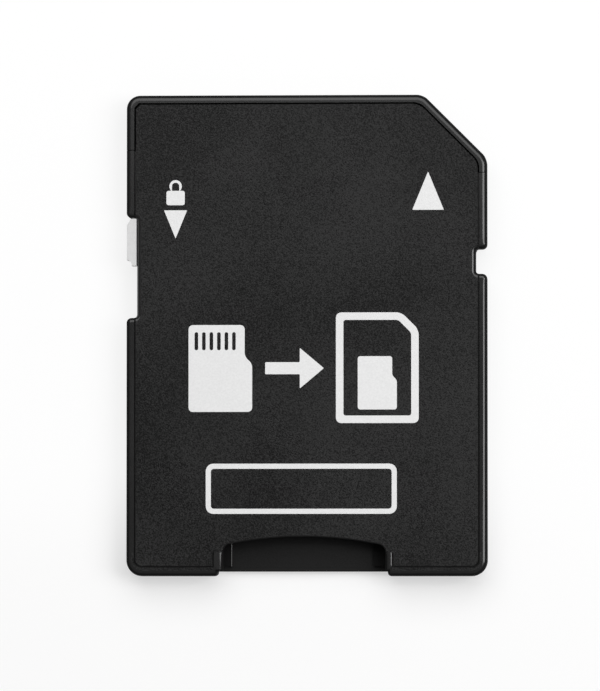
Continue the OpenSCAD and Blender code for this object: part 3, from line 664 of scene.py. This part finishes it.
def moulded(name, dark, light, rough, grain_mm, depth_mm, gloss=0.3, ior=1.53, spread=0.2):
    """Moulded plastic whose grain is pressed into it by the mould: darker in the pits as painted shade,
    lighter on the grain's tops as painted glints, with an uneven shine.

    The grain's width and depth are in millimetres. A small spread makes its dark and light spots distinct."""
    made, tree, out, place = new_material(name)
    grain = add(
        tree,
        "ShaderNodeTexNoise",
        {"Vector": place, "Scale": 1 / (grain_mm * MM), "Detail": 2.0, "Roughness": 0.6},
    )
    # Flow and cooling in the mould leave clouds about 9 mm wide, which are just seen in the shine.
    clouds = add(tree, "ShaderNodeTexNoise", {"Vector": place, "Scale": 1 / (9 * MM), "Detail": 3.0})
    both = add(
        tree,
        "ShaderNodeMix",
        {"Factor": 0.25, VALUE_A: grain.outputs["Fac"], VALUE_B: clouds.outputs["Fac"]},
    )
    shade = add(
        tree,
        "ShaderNodeMapRange",
        {"Value": both.outputs[0], "From Min": 0.5 - spread, "From Max": 0.5 + spread},
    )
    # Painted shade and glints: the colour follows the grain's height, dark in the pits and light on the tops.
    colour = add(
        tree,
        "ShaderNodeMix",
        {"Factor": shade.outputs[0], COLOUR_A: linear(dark), COLOUR_B: linear(light)},
        data_type="RGBA",
    )
    shine = add(
        tree,
        "ShaderNodeMapRange",
        {
            "Value": clouds.outputs["Fac"],
            "From Min": 0.3,
            "From Max": 0.7,
            "To Min": rough + 0.05,
            "To Max": rough - 0.05,
        },
    )
    bump = add(
        tree,
        "ShaderNodeBump",
        {"Height": grain.outputs["Fac"], "Strength": 1.0, "Distance": depth_mm * MM},
    )
    body = add(
        tree,
        "ShaderNodeBsdfPrincipled",
        {
            "Base Color": colour.outputs[COLOUR_OUT],
            "Roughness": shine.outputs[0],
            "IOR": ior,
            "Specular IOR Level": gloss,
            "Normal": bump.outputs[0],
        },
    )
    tree.links.new(body.outputs[0], out.inputs[0])
    return made


def metal(name, dark, light, rough, grain_mm):
    """Rolled metal strip: long fine drawing lines along Y and a slightly uneven shine."""
    made, tree, out, place = new_material(name)
    drawn = add(tree, "ShaderNodeMapping", {"Vector": place, "Scale": (1, 0.05, 1)})
    lines = add(
        tree,
        "ShaderNodeTexNoise",
        {"Vector": drawn.outputs[0], "Scale": 1 / (grain_mm * MM), "Detail": 3.0},
    )
    colour = add(
        tree,
        "ShaderNodeMix",
        {"Factor": lines.outputs["Fac"], COLOUR_A: linear(dark), COLOUR_B: linear(light)},
        data_type="RGBA",
    )
    shine = add(
        tree,
        "ShaderNodeMapRange",
        {
            "Value": lines.outputs["Fac"],
            "From Min": 0.3,
            "From Max": 0.7,
            "To Min": rough - 0.06,
            "To Max": rough + 0.06,
        },
    )
    bump = add(
        tree,
        "ShaderNodeBump",
        {"Height": lines.outputs["Fac"], "Strength": 1.0, "Distance": 0.002 * MM},
    )
    body = add(
        tree,
        "ShaderNodeBsdfPrincipled",
        {
            "Base Color": colour.outputs[COLOUR_OUT],
            "Metallic": 1.0,
            "Roughness": shine.outputs[0],
            "Normal": bump.outputs[0],
        },
    )
    tree.links.new(body.outputs[0], out.inputs[0])
    return made


# Spark-eroded black ABS of the label area: pits that keep it matt, with grey and black specks in its colour,
# the grey ones painted glints and the black ones painted shade in the pits.
# The real grain is about 0.05 mm wide, and is drawn coarser so that it shows.
eroded_abs_painted_glints = moulded(
    "spark_eroded_black_abs_painted_glints",
    dark="#020202",
    light="#2B2B2B",
    rough=0.5,
    grain_mm=0.085,
    depth_mm=0.02,
    gloss=0.15,
    spread=0.09,
)
# Black ABS from a polished part of the mould, on the rim and round the thumb cut: its round edges carry a
# clear thin highlight.
polished_abs = moulded(
    "polished_black_abs",
    dark="#1B1B1B",
    light="#202020",
    rough=0.2,
    grain_mm=0.25,
    depth_mm=0.0015,
    gloss=0.45,
)
# Black ABS of the side walls, the steep parts of the fillets and the slot's rails, with a rough finish and
# hardly any reflection. Its colour is darker than the rim's: painted shade on the faces that turn away from
# above.
matt_abs_painted_shade = moulded(
    "matt_black_abs_painted_shade",
    dark="#131313",
    light="#181818",
    rough=0.65,
    grain_mm=0.1,
    depth_mm=0.004,
    gloss=0.05,
)
# Satin black ABS of the back with its ledges and ribs: an even surface that catches a little light.
satin_abs = moulded(
    "satin_moulded_black_abs",
    dark="#171717",
    light="#1E1E1E",
    rough=0.4,
    grain_mm=0.12,
    depth_mm=0.006,
    gloss=0.35,
)
# Finely eroded black ABS of the slot floor: flatter and more even than the label area, and darker in colour,
# which is painted shade at the bottom of the slot.
floor_abs_painted_shade = moulded(
    "fine_eroded_black_abs_painted_shade",
    dark="#0B0B0B",
    light="#131313",
    rough=0.55,
    grain_mm=0.1,
    depth_mm=0.008,
    gloss=0.18,
)
# Glass-filled black plastic of the contact carrier: duller and a little greyer than the shells.
filled_insert = moulded(
    "glass_filled_black_insert",
    dark="#232323",
    light="#2E2E2E",
    rough=0.5,
    grain_mm=0.08,
    depth_mm=0.004,
)
# White acetal of the slider: smooth, slightly waxy and very light.
white_acetal = moulded(
    "moulded_white_acetal",
    dark="#D1D1D1",
    light="#DADADA",
    rough=0.4,
    grain_mm=0.3,
    depth_mm=0.002,
    gloss=0.4,
    ior=1.48,
)
# White screen ink: opaque and dull, a little uneven over the grain below it.
screen_ink = moulded(
    "white_screen_ink",
    dark="#E2E2E2",
    light="#EDEDED",
    rough=0.55,
    grain_mm=0.12,
    depth_mm=0.002,
    ior=1.5,
)
# Gold plate on the rolled bronze of the contacts: warm and bright, with faint drawing lines. The real lines
# are some 0.01 mm wide, and on both metals they are drawn coarser so that they show.
gold_plate = metal("gold_plated_contact_bronze", dark="#C79A45", light="#E3BC6C", rough=0.3, grain_mm=0.06)
# Bright rolled steel of the card spring: a cool grey with the same lines.
rolled_steel = metal("rolled_spring_steel", dark="#A9A9AC", light="#C4C4C6", rough=0.3, grain_mm=0.06)


def finish(piece, body, slot, finish_of, *nodes):
    """Smooths a piece's round parts, brings it to metres, and gives it its finish and its body."""
    hold(piece)
    bpy.ops.object.shade_smooth_by_angle(angle=math.radians(35))
    even = piece.modifiers.new("even_light", "WEIGHTED_NORMAL")
    even.keep_sharp = True
    bpy.ops.object.modifier_apply(modifier=even.name)
    bpy.ops.transform.resize(value=(MM, MM, MM), center_override=(0, 0, 0))
    bpy.ops.object.transform_apply(location=True, rotation=True, scale=True)
    piece.data.materials.append(finish_of)
    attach(piece, body)
    if nodes:
        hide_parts(*nodes)
    return piece


def refinish(piece, finish_of, wanted):
    """Gives the faces that the test takes another finish. The test reads their places in millimetres."""
    piece.data.materials.append(finish_of)
    piece.active_material_index = len(piece.data.materials) - 1
    pick(piece, "FACE", lambda c, n: wanted(c / MM, n))
    bpy.ops.object.material_slot_assign()
    leave()


# A fillet carries the polished finish as far as its normal's upward share stays over this.
# Beyond it the darker matt colour paints shade on the fillet's steep part.
POLISHED_UP = 0.86


def on_face(c, n):
    """True on the flat of the label side."""
    return n.z > 0.999 and c.z > FACE_Z - NEAR


def split_face(plate, wanted, point, normal):
    """Adds an edge across the faces of the label side that the test takes."""
    pick(plate, "FACE", lambda c, n: on_face(c / MM, n) and wanted(c / MM))
    bpy.ops.mesh.bisect(plane_co=Vector(point) * MM, plane_no=normal, threshold=1e-7)
    leave()


def in_label_field(c, n):
    """True on the grained label area, which leaves out the rim and the smooth strips beside the thumb cut."""
    inside = abs(c.x) < HALF_W - RIM_W + 0.01 and abs(c.y) < HALF_L - RIM_W
    strip = BORDER_LEFT - 0.07 < c.x < BORDER_RIGHT + 0.07 and c.y < STRIP_END + 0.02
    return on_face(c, n) and inside and not strip


def steep_outside(c, n):
    """True on walls and steep fillets, but not in the slider's recess, whose edge is polished all over."""
    in_recess = c.x < RECESS_X + 0.3 and RECESS_END < c.y < RECESS_TOP
    return n.z < POLISHED_UP and not in_recess


def polished_back(c, n):
    """True on the top of the rim at the contact end, and on the rounded edge of the left rail."""
    on_rim = n.z >= POLISHED_UP and c.z > 1.8
    on_rail_edge = abs(c.x - RAIL_EDGE) < 0.08 and 0.1 < n.z < 0.98
    return on_rim or on_rail_edge


# The dressed pieces
plate = finish(label_plate(), "adapter", "label_black", polished_abs, "label_shell")
split_face(plate, lambda c: abs(c.y) < 15.3, (0, STRIP_END, 0), (0, 1, 0))
for border in (BORDER_LEFT, BORDER_RIGHT):
    split_face(plate, lambda c: -15.39 < c.y < STRIP_END, (border, 0, 0), (1, 0, 0))
refinish(plate, eroded_abs_painted_glints, in_label_field)
# Painted shade: the walls and steep fillets take the darker matt colour.
refinish(plate, matt_abs_painted_shade, steep_outside)

# Painted shade: the back half takes the darker matt colour wherever no other finish follows.
back = finish(contact_half(), "adapter", "shell_black", matt_abs_painted_shade, "contact_shell")
refinish(back, satin_abs, lambda c, n: n.z < -0.2)
refinish(back, polished_abs, polished_back)
# Painted shade: the sunken slot floor takes the darker colour.
refinish(back, floor_abs_painted_shade, lambda c, n: n.z > 0.99 and abs(c.z - FLOOR_Z) < 0.01)

finish(slider(), "slider", "slider_white", white_acetal, "lock_slider")
for sign in printed_signs():
    finish(sign, "adapter", None, screen_ink)

NODE_FINISHES = {"contact_carrier": filled_insert, "card_spring": rolled_steel}
for strip in ("data2", "data3", "command", "ground", "supply", "clock", "data0", "data1"):
    NODE_FINISHES["contact_" + strip] = gold_plate
for name, finish_of in NODE_FINISHES.items():
    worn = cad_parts[name].data.materials
    worn.clear()
    worn.append(finish_of)


# Floor and light
def white_paper():
    """Plain white paper, which looks white but throws only the light of a grey sheet back at the card. Its
    glow, stronger beside the card than before its open end, is painted light that pales the card's shadow.
    """
    made, tree, out, place = new_material("plain_white_paper")
    path = add(tree, "ShaderNodeLightPath")
    seen = add(
        tree,
        "ShaderNodeMath",
        {0: path.outputs["Is Camera Ray"], 1: path.outputs["Is Glossy Ray"]},
        operation="MAXIMUM",
    )
    seen = add(
        tree,
        "ShaderNodeMath",
        {0: seen.outputs[0], 1: path.outputs["Is Transmission Ray"]},
        operation="MAXIMUM",
    )
    shade = add(
        tree,
        "ShaderNodeMix",
        {"Factor": seen.outputs[0], COLOUR_A: linear("#B8B8B8"), COLOUR_B: linear("#FFFFFF")},
        data_type="RGBA",
    )
    sheet = add(tree, "ShaderNodeBsdfDiffuse", {"Color": shade.outputs[COLOUR_OUT]})
    glow = add(tree, "ShaderNodeEmission", {"Color": (1, 1, 1, 1), "Strength": 1.0})
    # Painted light: the sheet glows more beside the card, which pales the card's shadow there, and less
    # before the open end, so that the shadow is the strongest there.
    painted_glow_share = add(
        tree,
        "ShaderNodeMapRange",
        {
            "Value": add(tree, "ShaderNodeSeparateXYZ", {0: place}).outputs["Y"],
            "From Min": -17 * MM,
            "From Max": -8 * MM,
            "To Min": 0.5,
            "To Max": 0.8,
        },
        interpolation_type="SMOOTHSTEP",
    )
    share = add(
        tree,
        "ShaderNodeMath",
        {0: seen.outputs[0], 1: painted_glow_share.outputs[0]},
        operation="MULTIPLY",
    )
    both = add(tree, "ShaderNodeMixShader", {0: share.outputs[0], 1: sheet.outputs[0], 2: glow.outputs[0]})
    tree.links.new(both.outputs[0], out.inputs[0])
    return made


def studio_world():
    """Dim room with a bright band near the horizon, which is the white backdrop in views from the side."""
    world = bpy.data.worlds.new("studio")
    bpy.context.scene.world = world
    world.use_nodes = True
    world.node_tree.nodes.clear()
    tree = world.node_tree
    way = add(tree, "ShaderNodeSeparateXYZ", {0: add(tree, "ShaderNodeTexCoord").outputs["Generated"]})
    strength = add(
        tree,
        "ShaderNodeMapRange",
        {"Value": way.outputs["Z"], "From Min": 0.11, "From Max": 0.22, "To Min": 1.0, "To Max": 0.16},
        interpolation_type="SMOOTHSTEP",
    )
    sky = add(tree, "ShaderNodeBackground", {"Color": (1, 1, 1, 1), "Strength": strength.outputs[0]})
    tree.links.new(sky.outputs[0], add(tree, "ShaderNodeOutputWorld").inputs[0])


def softbox(name, place, width, length, power):
    """Large soft lamp that looks at the card. Its sizes are in millimetres and its power in watts."""
    lamp = bpy.data.lights.new(name, "AREA")
    lamp.shape, lamp.size, lamp.size_y, lamp.energy = "RECTANGLE", width * MM, length * MM, power
    made = bpy.data.objects.new(name, lamp)
    bpy.context.scene.collection.objects.link(made)
    made.matrix_world = facing(place, (0, 0, 0))
    made.visible_camera = False


bpy.ops.object.select_all(action="DESELECT")
bpy.ops.mesh.primitive_plane_add(size=4, location=(0, 0, -0.02 * MM))
floor = named("floor")
floor.data.materials.append(white_paper())

studio_world()
softbox("right_softbox", place=(265, 25, 325), width=260, length=190, power=0.8)
softbox("top_softbox", place=(0, 165, 235), width=380, length=265, power=0.68)

bpy.context.scene.view_settings.view_transform = "Standard"
